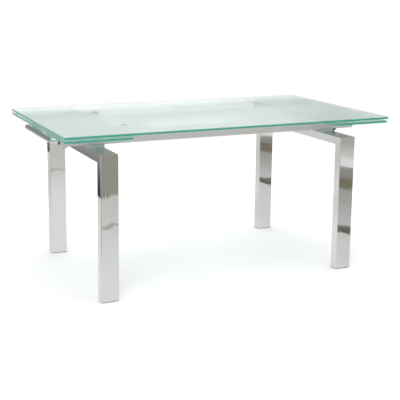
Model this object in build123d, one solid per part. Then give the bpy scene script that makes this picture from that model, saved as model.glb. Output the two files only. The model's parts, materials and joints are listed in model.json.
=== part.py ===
from build123d import *
import os

# Extendable glass dining table. Millimetres, +Z up, +X along the table's length.
# The origin is on the floor under the middle of the table top.

# Glass
TOP_LENGTH = 1600
TOP_WIDTH = 900
TOP_HEIGHT = 740
GLASS = 10
GLASS_CORNER = 5
LEAF_INNER_CORNER = 9
GLASS_ARRIS = 0.8
LEAF_LENGTH = 300
LEAF_GAP = 7
LEAF_SETBACK = {"left": 0, "right": 8}
LEAF_TRAVEL = 300

# Leg frames: rectangular tube with mitred corners
FRAME_END = 636
FRAME_SIDE = 415
TUBE_WIDE = 80
LEG_DEEP = 46
BEAM_HIGH = 38
TUBE_WALL = 2.5
TUBE_CORNER = 2
BEAM_TOP = 648
FOOT_LIFT = 3
FOOT_INSET = 1
FOOT_PLUG = 24

# Side rails: slotted aluminium profile on blocks
RAIL_END = 735
RAIL_FACE = 235
RAIL_INNER = 178
RAIL_STEP = 2.5
RAIL_STEP_HEIGHT = 12
RAIL_HEIGHT = 45
RAIL_WALL = 3
RAIL_WALL_SPARE = 0.5
RAIL_ROUND = 1.5
BLOCK_HEIGHT = 13
BLOCK_PROUD = 3
PLUGGED_BLOCK_SHORT = 8
PLUG_REACH = 20
PLUG_FOOT = 6
PLUG_GAP = 0.8
PLUG_INSET = 5
PLUG_PEG_R = 5
PLUG_PEG = 10
PLUG_ROUND = 1
SLOT = 14
COVER_END = 430
COVER_THICK = 1.5
COVER_INSET = 2
COVER_CORNER = 3
TIE_X = 300
TIE_WIDE = 40
TIE_HIGH = 26
TIE_WALL = 2.5

# Pull handles and their arms
ARM_Y = 205
ARM_HEIGHT = 684
ARM_R = 12.5
ARM_WALL = 2
BAR_X = 782
ARM_INNER_END = 85
SLIDER_LENGTH = 50
STOP_LENGTH = 12
SLIDE_CLEAR = 0.5
STOP_CLEAR = 2
SLIDER_ROUND = 2

# End caps of the rails
CAP_THICK = 10
CAP_PLUG = 20
CAP_CHAMFER = 8
BOSS_R = 17.5
BOSS_LENGTH = 7
BUSH_R = 15.2
BUSH_CLEAR = 0.4
PLUG_CLEAR = 0.8
BUSH_PROUD = 6
LUG_DROP = 18
LUG_HALF = 15
LUG_NOSE = 7
LUG_FLAT = 10
LUG_LENGTH = 38
LUG_TOP = 6
LUG_ROUND = 4

# Glass supports
POST_R = 12
POST_DISC_R = 16
POST_DISC = 3
POST_SETBACK = 48
SLEEVE_CLEAR = 0.5
SLEEVE_R = 18
SLEEVE_HIGH = 12
SLEEVE_CORNER = 6
STUD_R = 4
STUD_DEPTH = 12
BRACKET_X = (-700, -535)
BRACKET_LENGTH = 36
BRACKET_WIDE = 8
BRACKET_ROUND = 2
BRACKET_DISC_R = 22
BRACKET_DISC = 4
BRACKET_DISC_EDGE = 1
PAD = 1
PAD_R = 20

# Fasteners
BOLT_R = 4
BOLT_HEAD_R = 5
BOLT_HEAD = 5
BOLT_SOCKET_R = 2.5
BOLT_OFFSET = 18.5
NUT_R = 6.5
NUT_HIGH = 6.5
SCREW_R = 2.5
SCREW_HEAD_R = 5
POST_SCREW_R = 3
POST_SCREW_DEPTH = 8
POST_SCREW_HEAD = 3
T_PLATE = 5
T_HALF_X = 14
T_HALF_Y = 13
HOLE_CLEAR = 0.2

# Heights and places that follow
GLASS_BOTTOM = TOP_HEIGHT - GLASS
LEAF_TOP = GLASS_BOTTOM - LEAF_GAP
LEAF_BOTTOM = LEAF_TOP - GLASS
RAIL_BOTTOM = BEAM_TOP + BLOCK_HEIGHT
RAIL_TOP = RAIL_BOTTOM + RAIL_HEIGHT
FRAME_MID = FRAME_END - TUBE_WIDE / 2
MITRE_RUN = LEG_DEEP / BEAM_HIGH
SIDES = {"left": -1, "right": 1}
ENDS = {"front": -1, "rear": 1}


def box(x, y, z):
    """A box from its (low, high) pair on each axis, in either order."""
    spans = [sorted(pair) for pair in (x, y, z)]
    sizes = [high - low for low, high in spans]
    middle = [(high + low) / 2 for low, high in spans]
    return Pos(*middle) * Box(*sizes)


def rod(axis, start, end, radius):
    """A cylinder along "x", "y" or "z" between two points that differ on that axis."""
    turn = {"x": Rot(0, 90, 0), "y": Rot(90, 0, 0), "z": Rot(0, 0, 0)}[axis]
    middle = [(a + b) / 2 for a, b in zip(start, end)]
    length = sum(abs(a - b) for a, b in zip(start, end))
    return Pos(*middle) * turn * Cylinder(radius, length)


def prism_x(points, x):
    """A (y, z) outline drawn out along X between the two values of x."""
    low, high = sorted(x)
    outline = Plane.YZ.offset(low) * make_face(Polyline(*points, close=True))
    return extrude(outline, high - low)


def prism_y(points, y):
    """An (x, z) outline drawn out along Y between the two values of y."""
    low, high = sorted(y)
    outline = Plane.XZ.offset(-low) * make_face(Polyline(*points, close=True))
    return extrude(outline, low - high)


def save(shape, name):
    export_step(shape, f"parts/{name}.step")


def save_group(solids, name):
    save(Compound(children=list(solids)), name)


# Glass


def glass_plate(x, z, inner_corner, inner_x):
    """A plate across the table's width with rounded corners and eased edges."""
    plate = box(x, (-TOP_WIDTH / 2, TOP_WIDTH / 2), z)
    for edge in plate.edges().filter_by(Axis.Z):
        middle = edge.center()
        radius = inner_corner if abs(middle.X - inner_x) < 1 else GLASS_CORNER
        corner = plate.edges().filter_by(Axis.Z).sort_by_distance(middle)[0]
        plate = fillet(corner, radius)
    rims = plate.faces().sort_by(Axis.Z)[-1].edges() + plate.faces().sort_by(Axis.Z)[0].edges()
    return chamfer(rims, GLASS_ARRIS)


def glass_top():
    half = TOP_LENGTH / 2
    return glass_plate((-half, half), (GLASS_BOTTOM, TOP_HEIGHT), GLASS_CORNER, TOP_LENGTH)


def leaf_inner_edge(side):
    """How far from the table's middle a closed leaf begins."""
    return TOP_LENGTH / 2 - LEAF_SETBACK[side] - LEAF_LENGTH


def leaf_glass(side):
    inner = leaf_inner_edge(side)
    outer = inner + LEAF_LENGTH
    sign = SIDES[side]
    return glass_plate(
        (sign * outer, sign * inner), (LEAF_BOTTOM, LEAF_TOP), LEAF_INNER_CORNER, sign * inner
    )


# Leg frames


def beam(side):
    """The tube across the table's width, with a mitre at each end."""
    sign = SIDES[side]
    x = (sign * FRAME_END, sign * (FRAME_END - TUBE_WIDE))
    cavity_x = (x[0] - sign * TUBE_WALL, x[1] + sign * TUBE_WALL)
    shell = prism_x(mitred_outline(0), x)
    shell = fillet(shell.edges().filter_by(Axis.Y), TUBE_CORNER)
    shell -= prism_x(mitred_outline(TUBE_WALL), cavity_x)
    for end in ENDS:
        for bolt_x, bolt_y in bolt_places(side, end):
            shell -= rod("z", (bolt_x, bolt_y, BEAM_TOP - BEAM_HIGH / 2),
                         (bolt_x, bolt_y, BEAM_TOP + 1), BOLT_R + HOLE_CLEAR)
    return shell


def mitred_outline(inset):
    """The beam's (y, z) outline, drawn in by inset above and below, with its ends on the mitre."""
    top = BEAM_TOP - inset
    bottom = BEAM_TOP - BEAM_HIGH + inset
    long_half = FRAME_SIDE - inset * MITRE_RUN
    short_half = FRAME_SIDE - LEG_DEEP + inset * MITRE_RUN
    return [(-long_half, top), (long_half, top), (short_half, bottom), (-short_half, bottom)]


def leg_outline(end, inset, bottom):
    """A leg's (y, z) outline, drawn in by inset front and back, with its top on the mitre."""
    sign = ENDS[end]
    outer = sign * (FRAME_SIDE - inset)
    inner = sign * (FRAME_SIDE - LEG_DEEP + inset)
    return [
        (outer, bottom),
        (outer, BEAM_TOP - inset / MITRE_RUN),
        (inner, BEAM_TOP - BEAM_HIGH + inset / MITRE_RUN),
        (inner, bottom),
    ]


def leg(side, end):
    sign = SIDES[side]
    x = (sign * FRAME_END, sign * (FRAME_END - TUBE_WIDE))
    cavity_x = (x[0] - sign * TUBE_WALL, x[1] + sign * TUBE_WALL)
    shell = prism_x(leg_outline(end, 0, FOOT_LIFT), x)
    shell = fillet(shell.edges().filter_by(Axis.Z), TUBE_CORNER)
    return shell - prism_x(leg_outline(end, TUBE_WALL, 0), cavity_x)


def foot(side, end):
    """The plastic plug that closes a leg, with the thin pad that it stands on."""
    middle_x = SIDES[side] * FRAME_MID
    middle_y = ENDS[end] * (FRAME_SIDE - LEG_DEEP / 2)
    pad = Pos(middle_x, middle_y, FOOT_LIFT / 2) * Box(
        TUBE_WIDE - 2 * FOOT_INSET, LEG_DEEP - 2 * FOOT_INSET, FOOT_LIFT
    )
    pad = fillet(pad.edges().filter_by(Axis.Z), TUBE_CORNER)
    pad = chamfer(pad.faces().sort_by(Axis.Z)[0].edges(), FOOT_INSET)
    plug = Pos(middle_x, middle_y, FOOT_LIFT + FOOT_PLUG / 2) * Box(
        TUBE_WIDE - 2 * TUBE_WALL, LEG_DEEP - 2 * TUBE_WALL, FOOT_PLUG
    )
    return pad + plug


# Blocks and bolts between the beams and the rails


def bolt_places(side, end):
    """The (x, y) of the two bolts through one block."""
    x = SIDES[side] * FRAME_MID
    y = ENDS[end] * ARM_Y
    return [(x, y - BOLT_OFFSET), (x, y + BOLT_OFFSET)]


def has_plug(side, end):
    """One block of each leg frame is closed by a plug: the two lie on a diagonal."""
    return SIDES[side] == -ENDS[end]


def block_end(side, end):
    """The x of a block's outward face."""
    short = PLUGGED_BLOCK_SHORT if has_plug(side, end) else 0
    return SIDES[side] * (FRAME_END - short)


def plug_peg(side, end, clear=0):
    """The peg that holds a plug in its block, from the block's outward face inwards."""
    x = block_end(side, end)
    y = ENDS[end] * ARM_Y
    z = BEAM_TOP + BLOCK_HEIGHT / 2
    return rod("x", (x - SIDES[side] * (PLUG_PEG + clear), y, z), (x, y, z), PLUG_PEG_R)


def block(side, end):
    x = (block_end(side, end), SIDES[side] * (FRAME_END - TUBE_WIDE))
    y = (ENDS[end] * (RAIL_FACE + BLOCK_PROUD), ENDS[end] * RAIL_INNER)
    body = box(x, y, (BEAM_TOP, RAIL_BOTTOM))
    body = fillet(body.edges().filter_by(Axis.Z), TUBE_CORNER)
    for bolt_x, bolt_y in bolt_places(side, end):
        body -= rod("z", (bolt_x, bolt_y, BEAM_TOP - 1), (bolt_x, bolt_y, RAIL_BOTTOM + 1),
                    BOLT_R + HOLE_CLEAR)
    if has_plug(side, end):
        body -= plug_peg(side, end, 1)
    return body


def block_plug(side, end):
    """The black plug on a block's outward face: a wedge under the rail, on a peg."""
    sign = SIDES[side]
    x = block_end(side, end)
    low = BEAM_TOP + PLUG_GAP
    high = RAIL_BOTTOM - PLUG_GAP
    outline = [
        (x, low),
        (x + sign * PLUG_FOOT, low),
        (x + sign * PLUG_REACH, high - PLUG_FOOT / 2),
        (x + sign * PLUG_REACH, high),
        (x, high),
    ]
    y = (ENDS[end] * (RAIL_FACE - PLUG_GAP), ENDS[end] * (RAIL_INNER + PLUG_INSET))
    wedge = prism_y(outline, y)
    rim = wedge.edges().filter_by(Axis.Y).sort_by(Axis.X)
    outer = rim[:2] if sign < 0 else rim[-2:]
    return fillet(outer, PLUG_ROUND) + plug_peg(side, end)


def block_bolt(x, y):
    """A cap-head bolt down through rail floor, block and the beam's top wall."""
    floor = RAIL_BOTTOM + RAIL_WALL
    shank = rod("z", (x, y, BEAM_TOP - TUBE_WALL - NUT_HIGH - 1), (x, y, floor), BOLT_R)
    head = rod("z", (x, y, floor), (x, y, floor + BOLT_HEAD), BOLT_HEAD_R)
    socket = extrude(Plane.XY.offset(floor + BOLT_HEAD / 2) * Pos(x, y)
                     * RegularPolygon(BOLT_SOCKET_R, 6), BOLT_HEAD)
    return shank + head - socket


def block_nut(x, y):
    top = BEAM_TOP - TUBE_WALL
    face = Plane.XY.offset(top - NUT_HIGH) * Pos(x, y) * RegularPolygon(NUT_R, 6)
    face -= Plane.XY.offset(top - NUT_HIGH) * Pos(x, y) * Circle(BOLT_R)
    return extrude(face, NUT_HIGH)


# Rails


def rail_outline(end, inset_face=0):
    """The rail's (y, z) outline: the face stands proud below and steps back above."""
    sign = ENDS[end]
    face = sign * (RAIL_FACE - inset_face)
    back = sign * RAIL_INNER
    upper = face - sign * RAIL_STEP
    step = RAIL_BOTTOM + RAIL_STEP_HEIGHT
    return [
        (back, RAIL_BOTTOM),
        (face, RAIL_BOTTOM),
        (face, step),
        (upper, step + RAIL_STEP / 2),
        (upper, RAIL_TOP),
        (back, RAIL_TOP),
    ]


def cavity(end, x, clear=0):
    """The space inside a rail over the given x, drawn in by clear."""
    sign = ENDS[end]
    half = RAIL_FACE - RAIL_STEP - RAIL_WALL - ARM_Y - RAIL_WALL_SPARE - clear
    y = (sign * ARM_Y - half, sign * ARM_Y + half)
    z = (RAIL_BOTTOM + RAIL_WALL + clear, RAIL_TOP - RAIL_WALL - clear)
    return box(x, y, z)


def slot(end, x, z_low):
    """The opening along the rail's top, over the given x."""
    middle = ENDS[end] * ARM_Y
    return box(x, (middle - SLOT / 2, middle + SLOT / 2), (z_low, RAIL_TOP + 1))


def rail(end):
    profile = prism_x(rail_outline(end), (-RAIL_END, RAIL_END))
    profile = fillet(profile.edges().filter_by(Axis.X).group_by(Axis.Z)[0], RAIL_ROUND)
    profile -= cavity(end, (-RAIL_END - 1, RAIL_END + 1))
    profile -= slot(end, (-RAIL_END - 1, RAIL_END + 1), ARM_HEIGHT)
    for side in SIDES:
        for x, y in bolt_places(side, end):
            profile -= rod("z", (x, y, RAIL_BOTTOM - 1), (x, y, RAIL_BOTTOM + RAIL_WALL + 1),
                           BOLT_R + HOLE_CLEAR)
    return profile


def slot_cover(end):
    middle = ENDS[end] * ARM_Y
    half = RAIL_FACE - RAIL_STEP - ARM_Y - COVER_INSET
    plate = box((-COVER_END, COVER_END), (middle - half, middle + half),
                (RAIL_TOP, RAIL_TOP + COVER_THICK))
    return fillet(plate.edges().filter_by(Axis.Z), COVER_CORNER)


def tie(side):
    """A flat tube that joins the two rails."""
    x = SIDES[side] * TIE_X
    z = (RAIL_BOTTOM + RAIL_TOP) / 2
    length = 2 * RAIL_INNER
    outer = Pos(x, 0, z) * Box(TIE_WIDE, length, TIE_HIGH)
    outer = fillet(outer.edges().filter_by(Axis.Y), TUBE_CORNER)
    return outer - Pos(x, 0, z) * Box(
        TIE_WIDE - 2 * TIE_WALL, length, TIE_HIGH - 2 * TIE_WALL
    )


def end_cap(side, end):
    """A cast cap: a plug inside the rail, a plate over its end and a mouth for the arm."""
    sign = SIDES[side]
    y = ENDS[end] * ARM_Y
    face = sign * (RAIL_END + CAP_THICK)
    plate = prism_x(rail_outline(end), (sign * RAIL_END, face))
    low_rim = plate.edges().filter_by(Axis.Y).group_by(Axis.Z)[0]
    plate = chamfer(low_rim.sort_by(Axis.X)[0 if sign < 0 else -1], CAP_CHAMFER)
    cap = plate + cavity(end, (sign * (RAIL_END - CAP_PLUG), sign * RAIL_END))
    cap += rod("x", (sign * RAIL_END, y, ARM_HEIGHT),
               (face + sign * BOSS_LENGTH, y, ARM_HEIGHT), BOSS_R)
    if sign == ENDS[end]:
        cap += lug(side, end)
    far = face + sign * (BOSS_LENGTH + 1)
    near = sign * (RAIL_END - CAP_PLUG - 1)
    cap -= rod("x", (sign * RAIL_END, y, ARM_HEIGHT), (far, y, ARM_HEIGHT), BUSH_R)
    cap -= rod("x", (near, y, ARM_HEIGHT), (far, y, ARM_HEIGHT), ARM_R + PLUG_CLEAR)
    return cap - slot(end, (near, far), ARM_HEIGHT)


def lug(side, end):
    """The rounded lug under one cap of each leaf, deepest under the mouth."""
    sign = SIDES[side]
    y = ENDS[end] * ARM_Y
    face = RAIL_END + CAP_THICK + BOSS_LENGTH
    low = RAIL_BOTTOM - LUG_DROP
    outline = [
        (face, ARM_HEIGHT - LUG_TOP),
        (face, (low + RAIL_BOTTOM) / 2),
        (face - LUG_NOSE, low),
        (face - LUG_NOSE - LUG_FLAT, low),
        (face - LUG_LENGTH, RAIL_BOTTOM),
        (RAIL_END, RAIL_BOTTOM),
        (RAIL_END, ARM_HEIGHT - LUG_TOP),
    ]
    shape = prism_y([(sign * x, z) for x, z in outline], (y - LUG_HALF, y + LUG_HALF))
    return fillet(shape.edges().filter_by(Axis.Y).group_by(Axis.Z)[0], LUG_ROUND)


def bush(side, end):
    """The black guide ring in a cap's mouth, open on top like the rail."""
    sign = SIDES[side]
    y = ENDS[end] * ARM_Y
    near = (sign * RAIL_END, y, ARM_HEIGHT)
    far = (sign * (RAIL_END + CAP_THICK + BOSS_LENGTH + BUSH_PROUD), y, ARM_HEIGHT)
    ring = rod("x", near, far, BUSH_R)
    ring -= rod("x", near, far, ARM_R + BUSH_CLEAR)
    return ring - slot(end, (near[0] - sign, far[0] + sign), ARM_HEIGHT)


def rail_stop(side, end):
    """The block beside the arm that ends the leaf's travel."""
    sign = SIDES[side]
    inner = slider_outer_face(side) + LEAF_TRAVEL + SLIDE_CLEAR
    wall = RAIL_FACE - RAIL_STEP - RAIL_WALL - RAIL_WALL_SPARE
    y = (ENDS[end] * wall, ENDS[end] * (ARM_Y + ARM_R + STOP_CLEAR))
    return box((sign * inner, sign * (inner + STOP_LENGTH)), y,
               (RAIL_BOTTOM + RAIL_WALL, ARM_HEIGHT + ARM_R))


# Moving leaves


def slider_outer_face(side):
    return ARM_INNER_END - LEAF_SETBACK[side] + SLIDER_LENGTH


def mitre_wedge(side, end):
    """The (x, y) region of one arm, cut off at 45 degrees across the corner."""
    sign = SIDES[side]
    way = ENDS[end]
    corner = BAR_X - LEAF_SETBACK[side]
    reach = ARM_R + 1
    inner = ARM_INNER_END - LEAF_SETBACK[side]
    points = [
        (sign * (corner + reach), way * (ARM_Y + reach)),
        (sign * (corner - reach), way * (ARM_Y - reach)),
        (sign * inner, way * (ARM_Y - reach)),
        (sign * inner, way * (ARM_Y + reach)),
    ]
    return upright_prism(points)


def bar_wedge(side):
    """The (x, y) region of the pull bar, cut off at 45 degrees at both ends."""
    sign = SIDES[side]
    corner = BAR_X - LEAF_SETBACK[side]
    reach = ARM_R + 1
    points = [
        (sign * (corner + reach), -(ARM_Y + reach)),
        (sign * (corner + reach), ARM_Y + reach),
        (sign * (corner - reach), ARM_Y - reach),
        (sign * (corner - reach), -(ARM_Y - reach)),
    ]
    return upright_prism(points)


def upright_prism(points):
    height = 2 * (ARM_R + 1)
    outline = Plane.XY.offset(ARM_HEIGHT - height / 2) * make_face(Polyline(*points, close=True))
    return extrude(outline, height)


def tube_between(axis, start, end):
    return rod(axis, start, end, ARM_R) - rod(axis, start, end, ARM_R - ARM_WALL)


def arm(side, end):
    sign = SIDES[side]
    y = ENDS[end] * ARM_Y
    corner = BAR_X - LEAF_SETBACK[side]
    inner = ARM_INNER_END - LEAF_SETBACK[side]
    tube = tube_between("x", (sign * (corner + 2 * ARM_R), y, ARM_HEIGHT),
                        (sign * inner, y, ARM_HEIGHT))
    tube = tube & mitre_wedge(side, end)
    for x in bracket_places(side):
        tube -= rod("z", (x, y, ARM_HEIGHT), (x, y, ARM_HEIGHT + ARM_R + 1),
                    SCREW_R + HOLE_CLEAR)
    return tube


def pull_bar(side):
    x = SIDES[side] * (BAR_X - LEAF_SETBACK[side])
    half = ARM_Y + 2 * ARM_R
    tube = tube_between("y", (x, -half, ARM_HEIGHT), (x, half, ARM_HEIGHT))
    return tube & bar_wedge(side)


def slider(side, end):
    """The nylon block on an arm's inner end, which runs inside the rail."""
    sign = SIDES[side]
    y = ENDS[end] * ARM_Y
    outer = sign * slider_outer_face(side)
    inner = outer - sign * SLIDER_LENGTH
    body = cavity(end, (inner, outer), SLIDE_CLEAR)
    body = fillet(body.edges().filter_by(Axis.X), SLIDER_ROUND)
    return body - rod("x", (inner - sign, y, ARM_HEIGHT), (outer + sign, y, ARM_HEIGHT), ARM_R)


def bracket_places(side):
    """The x of a leaf's brackets along its arms."""
    sign = SIDES[side]
    return [-sign * (x + LEAF_SETBACK[side]) for x in BRACKET_X]


def bracket(x, y):
    """A neck on top of the arm, up through the rail's slot, with a disc under the leaf."""
    disc_top = LEAF_BOTTOM - PAD
    neck = box((x - BRACKET_LENGTH / 2, x + BRACKET_LENGTH / 2),
               (y - BRACKET_WIDE / 2, y + BRACKET_WIDE / 2),
               (ARM_HEIGHT + ARM_R / 2, disc_top - BRACKET_DISC / 2))
    neck = fillet(neck.edges().filter_by(Axis.Z), BRACKET_ROUND)
    reach = BRACKET_LENGTH
    neck -= rod("x", (x - reach, y, ARM_HEIGHT), (x + reach, y, ARM_HEIGHT), ARM_R)
    disc = rod("z", (x, y, disc_top - BRACKET_DISC), (x, y, disc_top), BRACKET_DISC_R)
    disc = chamfer(disc.faces().sort_by(Axis.Z)[0].edges(), BRACKET_DISC_EDGE)
    return neck + disc - screw_shape(x, y, disc_top, HOLE_CLEAR)


def screw_shape(x, y, top, clear=0):
    """A countersunk screw from the bracket's disc down into the arm's wall."""
    depth = SCREW_HEAD_R - SCREW_R
    head = Pos(x, y, top - depth / 2) * Cone(SCREW_R + clear, SCREW_HEAD_R + clear, depth)
    shank = rod("z", (x, y, ARM_HEIGHT + ARM_R - ARM_WALL - 1 - clear), (x, y, top - depth),
                SCREW_R + clear)
    return head + shank


def leaf_bracket_points(side):
    return [(x, ENDS[end] * ARM_Y) for x in bracket_places(side) for end in ENDS]


def bond_pad(x, y):
    return rod("z", (x, y, LEAF_BOTTOM - PAD), (x, y, LEAF_BOTTOM), PAD_R)


# Posts under the fixed glass


def post_points():
    """The (x, y) of the four posts, just inboard of the leaves."""
    points = []
    for side, sign in SIDES.items():
        x = sign * (leaf_inner_edge(side) - POST_SETBACK)
        points += [(x, way * ARM_Y) for way in ENDS.values()]
    return points


def post(x, y):
    body = rod("z", (x, y, RAIL_TOP), (x, y, GLASS_BOTTOM - POST_DISC), POST_R)
    body -= stud(x, y)
    return body - rod("z", (x, y, RAIL_TOP - 1), (x, y, RAIL_TOP + POST_SCREW_DEPTH), POST_SCREW_R)


def stud(x, y):
    """The stud under a bonded disc, set down into its post."""
    top = GLASS_BOTTOM - POST_DISC
    return rod("z", (x, y, top - STUD_DEPTH), (x, y, top), STUD_R)


def bond_disc(x, y):
    low = GLASS_BOTTOM - POST_DISC
    disc = rod("z", (x, y, low), (x, y, GLASS_BOTTOM), POST_DISC_R)
    disc = chamfer(disc.faces().sort_by(Axis.Z)[0].edges(), GLASS_ARRIS)
    return disc + stud(x, y)


def sleeve(x, y):
    """The rubber buffer on a post, long enough to meet a closed leaf's edge."""
    middle = (LEAF_TOP + LEAF_BOTTOM) / 2
    z = (middle - SLEEVE_HIGH / 2, middle + SLEEVE_HIGH / 2)
    tip = x + (POST_SETBACK - SLEEVE_CLEAR) * (1 if x > 0 else -1)
    body = rod("z", (x, y, z[0]), (x, y, z[1]), SLEEVE_R)
    body += box((x, tip), (y - SLEEVE_R, y + SLEEVE_R), z)
    body -= rod("z", (x, y, z[0] - 1), (x, y, z[1] + 1), POST_R)
    corners = body.edges().filter_by(Axis.Z).sort_by(Axis.X)
    return fillet(corners[-2:] if x > 0 else corners[:2], SLEEVE_CORNER)


def t_plate(x, y):
    top = RAIL_TOP - RAIL_WALL
    plate = box((x - T_HALF_X, x + T_HALF_X), (y - T_HALF_Y, y + T_HALF_Y), (top - T_PLATE, top))
    return plate - post_screw(x, y)


def post_screw(x, y):
    """A countersunk screw from inside the rail up into a post."""
    low = RAIL_TOP - RAIL_WALL - T_PLATE
    head = Pos(x, y, low + POST_SCREW_HEAD / 2) * Cone(
        POST_SCREW_R + POST_SCREW_HEAD, POST_SCREW_R, POST_SCREW_HEAD
    )
    return head + rod("z", (x, y, low + POST_SCREW_HEAD), (x, y, RAIL_TOP + POST_SCREW_DEPTH),
                      POST_SCREW_R)


# Export

os.makedirs("parts", exist_ok=True)

save(glass_top(), "glass_top")
for side_name in SIDES:
    save(leaf_glass(side_name), f"{side_name}_leaf_glass")
    save(beam(side_name), f"{side_name}_beam")
    save(tie(side_name), f"{side_name}_tie")
    save(pull_bar(side_name), f"{side_name}_pull_bar")
    corner_points = leaf_bracket_points(side_name)
    save_group([bracket(x, y) for x, y in corner_points], f"{side_name}_leaf_brackets")
    save_group([screw_shape(x, y, LEAF_BOTTOM - PAD) for x, y in corner_points],
               f"{side_name}_bracket_screws")
    save_group([bond_pad(x, y) for x, y in corner_points], f"{side_name}_bond_pads")
    for end_name in ENDS:
        corner_name = f"{side_name}_{end_name}"
        save(leg(side_name, end_name), f"{corner_name}_leg")
        save(foot(side_name, end_name), f"{corner_name}_foot")
        save(block(side_name, end_name), f"{corner_name}_block")
        save(end_cap(side_name, end_name), f"{corner_name}_end_cap")
        save(bush(side_name, end_name), f"{corner_name}_bush")
        save(arm(side_name, end_name), f"{corner_name}_arm")
        save(slider(side_name, end_name), f"{corner_name}_slider")

for end_name in ENDS:
    save(rail(end_name), f"{end_name}_rail")
    save(slot_cover(end_name), f"{end_name}_slot_cover")

CORNERS = [(s, e) for s in SIDES for e in ENDS]
BOLTS = [place for s, e in CORNERS for place in bolt_places(s, e)]
save_group([block_plug(s, e) for s, e in CORNERS if has_plug(s, e)], "block_plugs")
save_group([rail_stop(s, e) for s, e in CORNERS], "rail_stops")
save_group([block_bolt(x, y) for x, y in BOLTS], "block_bolts")
save_group([block_nut(x, y) for x, y in BOLTS], "block_nuts")
save_group([post(x, y) for x, y in post_points()], "top_posts")
save_group([bond_disc(x, y) for x, y in post_points()], "bond_discs")
save_group([sleeve(x, y) for x, y in post_points()], "stop_sleeves")
save_group([t_plate(x, y) for x, y in post_points()], "post_plates")
save_group([post_screw(x, y) for x, y in post_points()], "post_screws")
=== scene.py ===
import json
import math

import bpy
from mathutils import Matrix, Vector


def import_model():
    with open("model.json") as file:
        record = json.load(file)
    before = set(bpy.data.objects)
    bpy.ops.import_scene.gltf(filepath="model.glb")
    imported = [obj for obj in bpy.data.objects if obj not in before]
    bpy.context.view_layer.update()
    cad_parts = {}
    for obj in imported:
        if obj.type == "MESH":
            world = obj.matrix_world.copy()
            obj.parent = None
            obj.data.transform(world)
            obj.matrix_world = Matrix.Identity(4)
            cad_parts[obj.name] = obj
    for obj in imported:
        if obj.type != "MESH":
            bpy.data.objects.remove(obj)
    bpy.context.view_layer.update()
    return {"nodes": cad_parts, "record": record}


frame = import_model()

# Metres and degrees, +Z up, +X along the table, -Y to its front. Colours are linear RGB.


# Small helpers for node materials


def new_material(name):
    material = bpy.data.materials.new(name)
    material.use_nodes = True
    tree = material.node_tree
    shader = tree.nodes["Principled BSDF"]
    return material, tree, shader


def add_node(tree, kind, **inputs):
    node = tree.nodes.new(kind)
    for name, value in inputs.items():
        node.inputs[name.replace("_", " ")].default_value = value
    return node


def object_place(tree):
    """The place on the piece, in its own metres."""
    return tree.nodes.new("ShaderNodeTexCoord").outputs["Object"]


def object_coordinates(tree, stretch=(1, 1, 1)):
    """The place on the piece, scaled along each axis."""
    mapping = tree.nodes.new("ShaderNodeMapping")
    mapping.inputs["Scale"].default_value = stretch
    tree.links.new(object_place(tree), mapping.inputs["Vector"])
    return mapping.outputs["Vector"]


def noise(tree, vector, scale, detail=4, roughness=0.55):
    """A cloudy pattern from 0 to 1."""
    node = add_node(tree, "ShaderNodeTexNoise", Scale=scale, Detail=detail, Roughness=roughness)
    tree.links.new(vector, node.inputs["Vector"])
    return node.outputs["Fac"]


def remap(tree, value, low, high, to_low, to_high):
    """The value turned smoothly from to_low, at low and under, to to_high, at high and over."""
    node = tree.nodes.new("ShaderNodeMapRange")
    node.interpolation_type = "SMOOTHSTEP"
    for name, number in (("From Min", low), ("From Max", high), ("To Min", to_low), ("To Max", to_high)):
        node.inputs[name].default_value = number
    tree.links.new(value, node.inputs["Value"])
    return node.outputs["Result"]


# Most of a noise's values lie in this span.
NOISE_SPAN = (0.3, 0.7)
NOISE_MEAN = 0.5


def vary(tree, pattern, low, high, span=NOISE_SPAN):
    """A number that runs from low to high over the middle of a pattern's values."""
    return remap(tree, pattern, *span, low, high)


def math_node(tree, operation, first, second=0):
    """A sum on two values, each a number or another node's output."""
    node = tree.nodes.new("ShaderNodeMath")
    node.operation = operation
    for socket, value in zip(node.inputs, (first, second)):
        if isinstance(value, (int, float)):
            socket.default_value = value
        else:
            tree.links.new(value, socket)
    return node.outputs["Value"]


def blend_colours(tree, factor, first, second):
    """The first colour where the factor is 0, the second where it is 1."""
    node = tree.nodes.new("ShaderNodeMix")
    node.data_type = "RGBA"
    tree.links.new(factor, node.inputs["Factor"])
    for name, value in (("A", first), ("B", second)):
        socket = next(s for s in node.inputs if s.name == name and s.type == "RGBA")
        if isinstance(value, tuple):
            socket.default_value = (*value, 1)
        else:
            tree.links.new(value, socket)
    return next(s for s in node.outputs if s.type == "RGBA")


def add_bump(tree, shader, height, strength, distance):
    node = add_node(tree, "ShaderNodeBump", Strength=strength, Distance=distance)
    tree.links.new(height, node.inputs["Height"])
    tree.links.new(node.outputs["Normal"], shader.inputs["Normal"])


def split_vector(tree, vector):
    """The vector's outputs X, Y and Z."""
    split = tree.nodes.new("ShaderNodeSeparateXYZ")
    tree.links.new(vector, split.inputs["Vector"])
    return split.outputs


def normal_along(tree, axis):
    """The part of the face's normal that lies along the axis."""
    geometry = tree.nodes.new("ShaderNodeNewGeometry")
    return split_vector(tree, geometry.outputs["True Normal"])[axis]


# The parts of the normal over which a face turns from one kind to the other
FACING_TURN = (0.6, 0.85)
UPWARD_TURN = (-0.3, 0.3)


def facing(tree, axis):
    """1 on faces that look either way along the axis, 0 on those square to it."""
    return remap(tree, math_node(tree, "ABSOLUTE", normal_along(tree, axis)), *FACING_TURN, 0, 1)


def facing_up(tree):
    """1 on faces that look up, 0 on those that look down."""
    return remap(tree, normal_along(tree, "Z"), *UPWARD_TURN, 0, 1)


def mix_values(tree, factor, first, second):
    """The first value where the factor is 0, the second where it is 1."""
    node = tree.nodes.new("ShaderNodeMix")
    for name, value in (("Factor", factor), ("A", first), ("B", second)):
        tree.links.new(value, next(s for s in node.inputs if s.name == name and s.type == "VALUE"))
    return node.outputs["Result"]


# Materials


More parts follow.
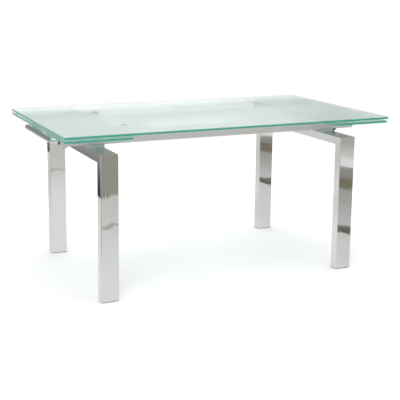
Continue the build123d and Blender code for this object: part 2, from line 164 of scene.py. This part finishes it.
# Each pair of colours or numbers below is the two ends that a noise wanders between.
TOP_GLASS_TINT = ((0.80, 0.955, 0.895), (0.825, 0.97, 0.915))
LEAF_GLASS_TINT = ((0.67, 0.93, 0.88), (0.70, 0.95, 0.90))
LONG_EDGE_TINT = ((0.045, 0.31, 0.225), (0.065, 0.36, 0.27))
# The ends' paler green is painted light, for the light that passes through them.
SHORT_EDGE_PAINTED_LIGHT_TINT = ((0.20, 0.43, 0.38), (0.27, 0.49, 0.44))
UNDERSIDE_ROUGHNESS = (0.07, 0.10)
UPPER_ROUGHNESS = (0.02, 0.06)
EDGE_ROUGHNESS = 0.02
EDGE_TRANSMISSION = 0.25
FACE_TRANSMISSION = 0.86


def frosted_glass(name, tint):
    """Satin glass: a smooth upper face, a frosted underside and polished green edges, with the ends that
    look along X painted paler for the light that passes through them.
    """
    material, tree, shader = new_material(name)
    vector = object_coordinates(tree)
    flat = facing(tree, "Z")
    cloud = noise(tree, vector, scale=3)
    grain = noise(tree, vector, scale=900, detail=2)
    face = blend_colours(tree, cloud, *tint)
    long_edge = blend_colours(tree, cloud, *LONG_EDGE_TINT)
    # Painted light: the ends that look along X get the paler green.
    short_edge_painted_light = blend_colours(tree, cloud, *SHORT_EDGE_PAINTED_LIGHT_TINT)
    edge = blend_colours(tree, facing(tree, "X"), long_edge, short_edge_painted_light)
    tree.links.new(blend_colours(tree, flat, edge, face), shader.inputs["Base Color"])
    face_roughness = mix_values(tree, facing_up(tree), vary(tree, cloud, *UNDERSIDE_ROUGHNESS),
                                vary(tree, cloud, *UPPER_ROUGHNESS))
    added_roughness = math_node(tree, "MULTIPLY", face_roughness, flat)
    tree.links.new(math_node(tree, "ADD", added_roughness, EDGE_ROUGHNESS), shader.inputs["Roughness"])
    clear = remap(tree, flat, 0, 1, EDGE_TRANSMISSION, FACE_TRANSMISSION)
    tree.links.new(clear, shader.inputs["Transmission Weight"])
    shader.inputs["IOR"].default_value = 1.5
    add_bump(tree, shader, grain, strength=0.08, distance=0.0001)
    return material


CHROME_TINT = ((0.86, 0.865, 0.86), (0.8084, 0.8131, 0.8084))
LEVEL_CHROME_TINT = ((0.62, 0.60, 0.60), (0.56, 0.545, 0.545))
CHROME_ROUGHNESS = (0.02, 0.06)
CHROME_NOISE_SPAN = (0.3, 0.75)
LEVEL_CHROME_ADDED_ROUGHNESS = 0.18


def chrome():
    """Mirror chrome, darker and rougher where it lies level."""
    material, tree, shader = new_material("polished_chrome")
    vector = object_coordinates(tree)
    smear = noise(tree, vector, scale=9)
    fine = noise(tree, vector, scale=260, detail=3)
    level = facing(tree, "Z")
    bright = blend_colours(tree, smear, *CHROME_TINT)
    dulled = blend_colours(tree, smear, *LEVEL_CHROME_TINT)
    tree.links.new(blend_colours(tree, level, bright, dulled), shader.inputs["Base Color"])
    shader.inputs["Metallic"].default_value = 1.0
    level_roughness = math_node(tree, "MULTIPLY", level, LEVEL_CHROME_ADDED_ROUGHNESS)
    polish = vary(tree, smear, *CHROME_ROUGHNESS, span=CHROME_NOISE_SPAN)
    tree.links.new(math_node(tree, "ADD", level_roughness, polish), shader.inputs["Roughness"])
    add_bump(tree, shader, fine, strength=0.015, distance=0.0002)
    return material


# Both steel tints hold a painted green cast, for the light that comes through the green glass.
STEEL_AND_PAINTED_GREEN_LIGHT = ((0.60, 0.71, 0.69), (0.66, 0.76, 0.74))
STEEL_END_AND_PAINTED_GREEN_LIGHT = ((0.34, 0.40, 0.385), (0.38, 0.44, 0.42))


def polished_steel():
    """Bright steel with a faint green cast painted in for the light that reaches it through the green
    glass, darker on the faces that look along X.
    """
    material, tree, shader = new_material("polished_steel")
    lines = noise(tree, object_coordinates(tree, stretch=(30, 30, 900)), scale=1, detail=3)
    cloud = noise(tree, object_coordinates(tree), scale=30)
    side = blend_colours(tree, cloud, *STEEL_AND_PAINTED_GREEN_LIGHT)
    end = blend_colours(tree, cloud, *STEEL_END_AND_PAINTED_GREEN_LIGHT)
    tree.links.new(blend_colours(tree, facing(tree, "X"), side, end), shader.inputs["Base Color"])
    shader.inputs["Metallic"].default_value = 0.5
    tree.links.new(vary(tree, lines, 0.22, 0.34), shader.inputs["Roughness"])
    add_bump(tree, shader, lines, strength=0.06, distance=0.0002)
    return material


ALUMINIUM_TINT = ((0.715, 0.70, 0.69), (0.765, 0.75, 0.74))


def satin_aluminium():
    """Anodised aluminium with fine lines along X."""
    material, tree, shader = new_material("satin_aluminium")
    lines = noise(tree, object_coordinates(tree, stretch=(4, 160, 160)), scale=6, detail=5)
    cloud = noise(tree, object_coordinates(tree), scale=7)
    tree.links.new(blend_colours(tree, cloud, *ALUMINIUM_TINT), shader.inputs["Base Color"])
    shader.inputs["Metallic"].default_value = 0.7
    tree.links.new(vary(tree, lines, 0.34, 0.46), shader.inputs["Roughness"])
    add_bump(tree, shader, lines, strength=0.12, distance=0.0003)
    return material


BLACK_TINT = ((0.012, 0.012, 0.012), (0.025, 0.025, 0.026))
NYLON_TINT = ((0.70, 0.69, 0.64), (0.78, 0.77, 0.72))
RUBBER_TINT = ((0.55, 0.62, 0.59), (0.62, 0.68, 0.65))
MOULDED_ROUGHNESS_SPREAD = 0.05


def moulded(name, tint, roughness, transmission=0.0):
    """A moulded plastic or rubber with a fine grain."""
    material, tree, shader = new_material(name)
    vector = object_coordinates(tree)
    cloud = noise(tree, vector, scale=40)
    grain = noise(tree, vector, scale=1400, detail=2)
    tree.links.new(blend_colours(tree, cloud, *tint), shader.inputs["Base Color"])
    tree.links.new(vary(tree, cloud, roughness - MOULDED_ROUGHNESS_SPREAD,
                        roughness + MOULDED_ROUGHNESS_SPREAD), shader.inputs["Roughness"])
    shader.inputs["Transmission Weight"].default_value = transmission
    add_bump(tree, shader, grain, strength=0.2, distance=0.0002)
    return material


ZINC_TINT = ((0.48, 0.48, 0.47), (0.60, 0.60, 0.60))


def zinc_steel():
    """Zinc plate with a fine spangle."""
    material, tree, shader = new_material("zinc_steel")
    spangle = noise(tree, object_coordinates(tree), scale=120)
    tree.links.new(blend_colours(tree, spangle, *ZINC_TINT), shader.inputs["Base Color"])
    shader.inputs["Metallic"].default_value = 1.0
    tree.links.new(vary(tree, spangle, 0.25, 0.42), shader.inputs["Roughness"])
    add_bump(tree, shader, spangle, strength=0.1, distance=0.0003)
    return material


MATERIALS = {
    "frosted_glass": frosted_glass("frosted_glass", TOP_GLASS_TINT),
    "leaf_glass": frosted_glass("leaf_glass", LEAF_GLASS_TINT),
    "polished_chrome": chrome(),
    "polished_steel": polished_steel(),
    "satin_aluminium": satin_aluminium(),
    "black_plastic": moulded("black_plastic", BLACK_TINT, roughness=0.5),
    "white_nylon": moulded("white_nylon", NYLON_TINT, roughness=0.45),
    "clear_rubber": moulded("clear_rubber", RUBBER_TINT, roughness=0.45, transmission=0.3),
    "zinc_steel": zinc_steel(),
}


def dress_nodes():
    """Give each node the material of its slot. The leaves' glass has a material of its own."""
    slots = {part["node"]: part["material_slot"] for part in frame["record"]["subparts"]}
    for name, piece in frame["nodes"].items():
        material = MATERIALS["leaf_glass" if name.endswith("_leaf_glass") else slots[name]]
        for slot in piece.material_slots:
            slot.material = material
        if not piece.material_slots:
            piece.data.materials.append(material)


dress_nodes()


# Camera

CAMERA_PLACE = (-1.805, -3.885, 1.360)
CAMERA_YAW = 25.12
CAMERA_PITCH = 10.76
CAMERA_ROLL = 0.64
CAMERA_LENS = 80.11
CAMERA_SHIFT = -0.12
CAMERA_SENSOR = 36
CAMERA_CLIP = (0.05, 400)


def camera():
    """The camera, turned by its yaw to the right, its pitch downwards and its roll."""
    data = bpy.data.cameras.new("camera")
    data.lens = CAMERA_LENS
    data.sensor_width = CAMERA_SENSOR
    data.shift_y = CAMERA_SHIFT
    data.clip_start, data.clip_end = CAMERA_CLIP
    piece = bpy.data.objects.new("camera", data)
    bpy.context.scene.collection.objects.link(piece)
    turn = Matrix.Rotation(math.radians(-CAMERA_YAW), 4, "Z")
    tilt = Matrix.Rotation(math.radians(90 - CAMERA_PITCH), 4, "X")
    roll = Matrix.Rotation(math.radians(CAMERA_ROLL), 4, "Z")
    piece.matrix_world = Matrix.Translation(CAMERA_PLACE) @ turn @ tilt @ roll
    bpy.context.scene.camera = piece


camera()


# Studio


# Each softbox's name, place, aim, size and power in watts
SOFTBOXES = (
    ("softbox_above", (0.3, 0.2, 3.2), (0, 0, 0), (3.4, 2.4), 50),
    ("softbox_front", (-2.6, -3.2, 2.6), (0, 0, 0.5), (1.6, 1.6), 45),
)


def softbox(name, place, aim, size, power):
    data = bpy.data.lights.new(name, "AREA")
    data.shape = "RECTANGLE"
    data.size, data.size_y = size
    data.energy = power
    piece = bpy.data.objects.new(name, data)
    bpy.context.scene.collection.objects.link(piece)
    piece.location = place
    piece.rotation_euler = (Vector(aim) - Vector(place)).to_track_quat("-Z", "Y").to_euler()


FLOOR_RADIUS = 9.0
FLOOR_FADE = (1.9, 5.0)
# The floor is painted greyer under the table, a painted shadow that fades out over these distances.
FLOOR_PAINTED_SHADOW_FADE = (1.2, 2.2)
FLOOR_PAINTED_SHADOW_GREY = (0.83, 0.83, 0.83)
FLOOR_GREY_FAR = (0.93, 0.93, 0.93)
MIRRORED_FLOOR_HEIGHT = 0.0005

# What the chrome mirrors: the light of the floor at each distance from the table's middle,
# towards the front, the right and the rear. A dark line is a sheet's edge or its shadow.
FRONT_RINGS = (
    (0.0, (0.86, 0.86, 0.84)),
    (1.0, (0.78, 0.785, 0.765)),
    (1.55, (0.67, 0.68, 0.66)),
    (1.60, (0.36, 0.37, 0.33)),
    (1.64, (0.64, 0.65, 0.62)),
    (2.20, (0.60, 0.605, 0.575)),
    (3.60, (0.56, 0.57, 0.55)),
)
RIGHT_RINGS = (
    (0.0, (0.80, 0.80, 0.78)),
    (1.0, (0.68, 0.69, 0.67)),
    (1.34, (0.63, 0.645, 0.625)),
    (1.37, (0.13, 0.11, 0.085)),
    (1.50, (0.22, 0.215, 0.195)),
    (1.53, (0.55, 0.565, 0.55)),
    (2.00, (0.42, 0.435, 0.41)),
    (2.44, (0.36, 0.375, 0.34)),
    (2.48, (0.20, 0.18, 0.125)),
    (2.74, (0.20, 0.18, 0.13)),
    (2.78, (0.27, 0.275, 0.255)),
    (3.16, (0.30, 0.305, 0.285)),
    (3.20, (0.80, 0.81, 0.79)),
    (3.45, (0.78, 0.79, 0.77)),
    (3.60, (0.62, 0.63, 0.61)),
    (4.20, (0.44, 0.44, 0.41)),
)
REAR_RINGS = (
    (0.0, (0.74, 0.75, 0.74)),
    (0.9, (0.72, 0.73, 0.72)),
    (1.2, (0.78, 0.79, 0.78)),
    (2.2, (0.64, 0.65, 0.64)),
    (2.9, (0.66, 0.67, 0.655)),
    (3.2, (0.69, 0.70, 0.69)),
    (3.6, (0.69, 0.70, 0.69)),
    (3.8, (0.40, 0.40, 0.39)),
)

# The distance at the end of every colour ramp
RAMP_REACH = 4.5

# The front rings turn into the right ones over this X, and into the rear ones over this Y.
RIGHT_RINGS_FROM = (0.45, 0.75)
REAR_RINGS_FROM = (0.3, 0.7)

# The rings waver by two noises, less their mean. The quick one is narrow along X.
SLOW_WAVER = 0.22
QUICK_WAVER = 0.34
MEAN_WAVER = (SLOW_WAVER + QUICK_WAVER) * NOISE_MEAN
QUICK_WAVER_STRETCH = (11, 1.2, 1)

# A dark patch painted into the mirrored floor to the left of the front, a painted reflection: where it
# begins, is whole, stops being whole and ends
DARK_PATCH_X = (-2.1, -1.9, -0.9, -0.8)
DARK_PATCH_Y = (-3.4, -3.2, -0.9, -0.8)
DARK_PATCH_LIGHT = (0.13, 0.12, 0.11)


def glowing_material(name):
    """A material that only gives off light."""
    material = bpy.data.materials.new(name)
    material.use_nodes = True
    tree = material.node_tree
    tree.nodes.remove(tree.nodes["Principled BSDF"])
    light = tree.nodes.new("ShaderNodeEmission")
    tree.links.new(light.outputs["Emission"], tree.nodes["Material Output"].inputs["Surface"])
    return material, tree, light


def distance_out(tree):
    """The distance from the middle of the disc."""
    length = tree.nodes.new("ShaderNodeVectorMath")
    length.operation = "LENGTH"
    tree.links.new(object_place(tree), length.inputs[0])
    return length.outputs["Value"]


def floor_material():
    """A pale matt floor with a painted shadow under the table, where it is a little less pale, and a faint
    glow of painted light that lightens the shadows on it; its rim dissolves into the background.
    """
    material, tree, shader = new_material("studio_floor")
    shader.inputs["Roughness"].default_value = 0.9
    shader.inputs["Specular IOR Level"].default_value = 0.1
    # A faint even glow: painted light that lightens the shadows on the floor.
    shader.inputs["Emission Color"].default_value = (1, 1, 1, 1)
    shader.inputs["Emission Strength"].default_value = 0.12
    distance = distance_out(tree)
    out_of_painted_shadow = remap(tree, distance, *FLOOR_PAINTED_SHADOW_FADE, 0, 1)
    tree.links.new(blend_colours(tree, out_of_painted_shadow, FLOOR_PAINTED_SHADOW_GREY, FLOOR_GREY_FAR), shader.inputs["Base Color"])
    tree.links.new(remap(tree, distance, *FLOOR_FADE, 1, 0), shader.inputs["Alpha"])
    return material


def ramp_colours(tree, metres, stops):
    """The colour at so many metres, between the stops on either side."""
    node = tree.nodes.new("ShaderNodeValToRGB")
    ramp = node.color_ramp
    while len(ramp.elements) < len(stops):
        ramp.elements.new(1.0)
    for element, (place, colour) in zip(ramp.elements, stops):
        element.position = place / RAMP_REACH
        element.color = (*colour, 1)
    tree.links.new(math_node(tree, "DIVIDE", metres, RAMP_REACH), node.inputs["Fac"])
    return node.outputs["Color"]


def within(tree, value, limits):
    """1 between the middle two of four limits, falling to 0 at the outer two."""
    begins, whole, breaks, ends = limits
    return math_node(tree, "MULTIPLY", remap(tree, value, begins, whole, 0, 1),
                     remap(tree, value, breaks, ends, 1, 0))


def mirrored_floor_material():
    """The floor as the chrome mirrors it, with wavering edges."""
    material, tree, light = glowing_material("mirrored_floor")
    place = split_vector(tree, object_place(tree))
    slow = noise(tree, object_place(tree), scale=2.2, detail=2)
    quick = noise(tree, object_coordinates(tree, stretch=QUICK_WAVER_STRETCH), scale=1, detail=3)
    waver = math_node(tree, "ADD", math_node(tree, "MULTIPLY", slow, SLOW_WAVER),
                      math_node(tree, "MULTIPLY", quick, QUICK_WAVER))
    centred_waver = math_node(tree, "SUBTRACT", waver, MEAN_WAVER)
    distance = math_node(tree, "ADD", distance_out(tree), centred_waver)
    rightward = remap(tree, place["X"], *RIGHT_RINGS_FROM, 0, 1)
    rearward = remap(tree, place["Y"], *REAR_RINGS_FROM, 0, 1)
    colour = blend_colours(tree, rightward, ramp_colours(tree, distance, FRONT_RINGS),
                           ramp_colours(tree, distance, RIGHT_RINGS))
    colour = blend_colours(tree, rearward, colour, ramp_colours(tree, distance, REAR_RINGS))
    # The dark patch is a painted reflection, seen only in shiny surfaces.
    on_dark_patch = math_node(tree, "MULTIPLY", within(tree, place["X"], DARK_PATCH_X), within(tree, place["Y"], DARK_PATCH_Y))
    tree.links.new(blend_colours(tree, on_dark_patch, colour, DARK_PATCH_LIGHT), light.inputs["Color"])
    return material


def disc(name, height, material):
    """A piece of floor, round and centred under the table."""
    bpy.ops.mesh.primitive_circle_add(vertices=128, radius=FLOOR_RADIUS, fill_type="NGON",
                                      location=(0, 0, height))
    piece = bpy.context.object
    piece.name = name
    piece.data.materials.append(material)
    return piece


def only_mirrored(piece):
    """Hide a piece from everything but shiny surfaces."""
    for kind in ("camera", "diffuse", "transmission", "volume_scatter", "shadow"):
        setattr(piece, f"visible_{kind}", False)


def floor():
    """The floor that is seen, and the one that shiny surfaces mirror in its place."""
    seen = disc("studio_floor", 0, floor_material())
    seen.visible_glossy = False
    only_mirrored(disc("mirrored_floor", MIRRORED_FLOOR_HEIGHT, mirrored_floor_material()))


def outline(across, up):
    """The corners of an upright board, in order round it."""
    return [(across[0], up[0]), (across[1], up[0]), (across[1], up[1]), (across[0], up[1])]


def mirrored_board(name, material, corners):
    """A flat board that only shiny surfaces mirror."""
    mesh = bpy.data.meshes.new(name)
    mesh.from_pydata(corners, [], [(0, 1, 2, 3)])
    mesh.materials.append(material)
    piece = bpy.data.objects.new(name, mesh)
    bpy.context.scene.collection.objects.link(piece)
    only_mirrored(piece)


# The flag's lower edge runs up from the near Y and Z to the far ones.
FLAG_X = -1.15
FLAG_NEAR = (0.7, 0.04)
FLAG_FAR = (2.34, 0.16)
FLAG_TOP = 0.36
FLAG_FADE = (0.10, 0.38)
FLAG_LIGHT_LOW = (0.05, 0.05, 0.048)
FLAG_LIGHT_HIGH = (0.30, 0.31, 0.305)


def flag():
    """A dark board beside the left end, which makes the dark line on the chrome's left faces."""
    material, tree, light = glowing_material("flag")
    height = remap(tree, split_vector(tree, object_place(tree))["Z"], *FLAG_FADE, 0, 1)
    tree.links.new(blend_colours(tree, height, FLAG_LIGHT_LOW, FLAG_LIGHT_HIGH), light.inputs["Color"])
    sides = [FLAG_NEAR, FLAG_FAR, (FLAG_FAR[0], FLAG_TOP), (FLAG_NEAR[0], FLAG_TOP)]
    mirrored_board("flag", material, [(FLAG_X, y, z) for y, z in sides])


SCREEN_X = (-0.47, -0.32)
SCREEN_Y = -1.0
SCREEN_Z = (0.27, 0.53)
SCREEN_LIGHT = (0.33, 0.32, 0.275)
UNDER_SCREEN_LIGHT = (0.60, 0.605, 0.575)
SCREEN_EDGE = 0.31
SCREEN_EDGE_TURN = (SCREEN_EDGE - 0.015, SCREEN_EDGE - 0.005)
SCREEN_EDGE_SLOPE = -0.25
SCREEN_RAGGEDNESS = 0.07
STREAK_STRETCH = (1, 1, 0.05)
STREAK_TURN = (0.48, 0.56)
STREAK_LIGHT = (0.06, 0.06, 0.055)
STREAKS_HIGH = 0.09
STREAKS_WIDE = 0.08


def screen():
    """A dark board with a ragged lower edge, which the left front leg mirrors."""
    material, tree, light = glowing_material("screen")
    place = split_vector(tree, object_place(tree))
    left_edge = SCREEN_X[0]
    streaks = noise(tree, object_coordinates(tree, STREAK_STRETCH), scale=110, detail=3, roughness=0.7)
    centred_streaks = math_node(tree, "SUBTRACT", streaks, NOISE_MEAN)
    ragged = math_node(tree, "MULTIPLY", centred_streaks, SCREEN_RAGGEDNESS)
    across = math_node(tree, "SUBTRACT", place["X"], left_edge)
    slope = math_node(tree, "MULTIPLY", across, SCREEN_EDGE_SLOPE)
    height = math_node(tree, "ADD", math_node(tree, "ADD", place["Z"], ragged), slope)
    above = remap(tree, height, *SCREEN_EDGE_TURN, 0, 1)
    low = remap(tree, place["Z"], SCREEN_EDGE, SCREEN_EDGE + STREAKS_HIGH, 1, 0)
    left = remap(tree, place["X"], left_edge, left_edge + STREAKS_WIDE, 1, 0)
    dark_streaks = math_node(tree, "MULTIPLY", math_node(tree, "MULTIPLY", low, left),
                             remap(tree, streaks, *STREAK_TURN, 0, 1))
    dark = blend_colours(tree, dark_streaks, SCREEN_LIGHT, STREAK_LIGHT)
    tree.links.new(blend_colours(tree, above, UNDER_SCREEN_LIGHT, dark), light.inputs["Color"])
    mirrored_board("screen", material, [(x, SCREEN_Y, z) for x, z in outline(SCREEN_X, SCREEN_Z)])


BACKDROP_X = (-0.4, 8.0)
BACKDROP_Y = 2.5
BACKDROP_Z = (1.07, 3.0)
BACKDROP_DIMS_OVER_X = (1.8, 2.5)
BACKDROP_RIGHT_STRENGTH = 0.7
BACKDROP_BANDS = (
    (1.07, (0.62, 0.61, 0.61)),
    (1.105, (0.64, 0.63, 0.63)),
    (1.13, (0.95, 0.94, 0.94)),
    (1.20, (0.92, 0.91, 0.91)),
    (1.27, (0.95, 0.94, 0.94)),
)


def backdrop():
    """A board behind the table, which the glass mirrors, with a dim lower edge and right side."""
    material, tree, light = glowing_material("backdrop")
    place = split_vector(tree, object_place(tree))
    tree.links.new(ramp_colours(tree, place["Z"], BACKDROP_BANDS), light.inputs["Color"])
    strength = remap(tree, place["X"], *BACKDROP_DIMS_OVER_X, 1, BACKDROP_RIGHT_STRENGTH)
    tree.links.new(strength, light.inputs["Strength"])
    mirrored_board("backdrop", material, [(x, BACKDROP_Y, z) for x, z in outline(BACKDROP_X, BACKDROP_Z)])


# The parts of a direction between which the mirrored world turns from one light to another
WORLD_BEHIND = (-0.45, 0.45)
WORLD_AHEAD = (-0.35, -0.1)
WORLD_NOT_LEFT = (-0.05, 0.12)
WORLD_RIGHTWARD = (0.38, 0.58)
WORLD_ABOVE = (0.75, 0.98)

# The world's light, as it is seen and as it is mirrored
WORLD_WHITE = (1.0, 1.0, 1.0)
WORLD_BRIGHT = (1.14, 1.10, 1.10)
WORLD_BRIGHT_RIGHT = (0.80, 0.81, 0.805)
WORLD_DIM = (0.26, 0.26, 0.257)
WORLD_DIM_AHEAD = (0.62, 0.62, 0.615)


def world():
    """White all round; shiny surfaces mirror it darker towards the front, the left and the right."""
    made = bpy.data.worlds.new("studio")
    made.use_nodes = True
    tree = made.node_tree
    background = tree.nodes["Background"]
    direction = split_vector(tree, tree.nodes.new("ShaderNodeTexCoord").outputs["Generated"])
    behind = remap(tree, direction["Y"], *WORLD_BEHIND, 0, 1)
    not_left = remap(tree, direction["X"], *WORLD_NOT_LEFT, 0, 1)
    above = remap(tree, direction["Z"], *WORLD_ABOVE, 0, 1)
    lit = math_node(tree, "MAXIMUM", math_node(tree, "MULTIPLY", behind, not_left), above)
    rightward = remap(tree, direction["X"], *WORLD_RIGHTWARD, 0, 1)
    bright = blend_colours(tree, rightward, WORLD_BRIGHT, WORLD_BRIGHT_RIGHT)
    ahead = remap(tree, direction["Y"], *WORLD_AHEAD, 1, 0)
    dim = blend_colours(tree, ahead, WORLD_DIM, WORLD_DIM_AHEAD)
    mirrored = blend_colours(tree, lit, dim, bright)
    ray = tree.nodes.new("ShaderNodeLightPath")
    colour = blend_colours(tree, ray.outputs["Is Glossy Ray"], WORLD_WHITE, mirrored)
    tree.links.new(colour, background.inputs["Color"])
    background.inputs["Strength"].default_value = 1.0
    bpy.context.scene.world = made


floor()
flag()
screen()
backdrop()
world()
for box in SOFTBOXES:
    softbox(*box)

view_settings = bpy.context.scene.view_settings
view_settings.view_transform = "Standard"
view_settings.look = "None"
view_settings.exposure = 0.0
view_settings.gamma = 1.0
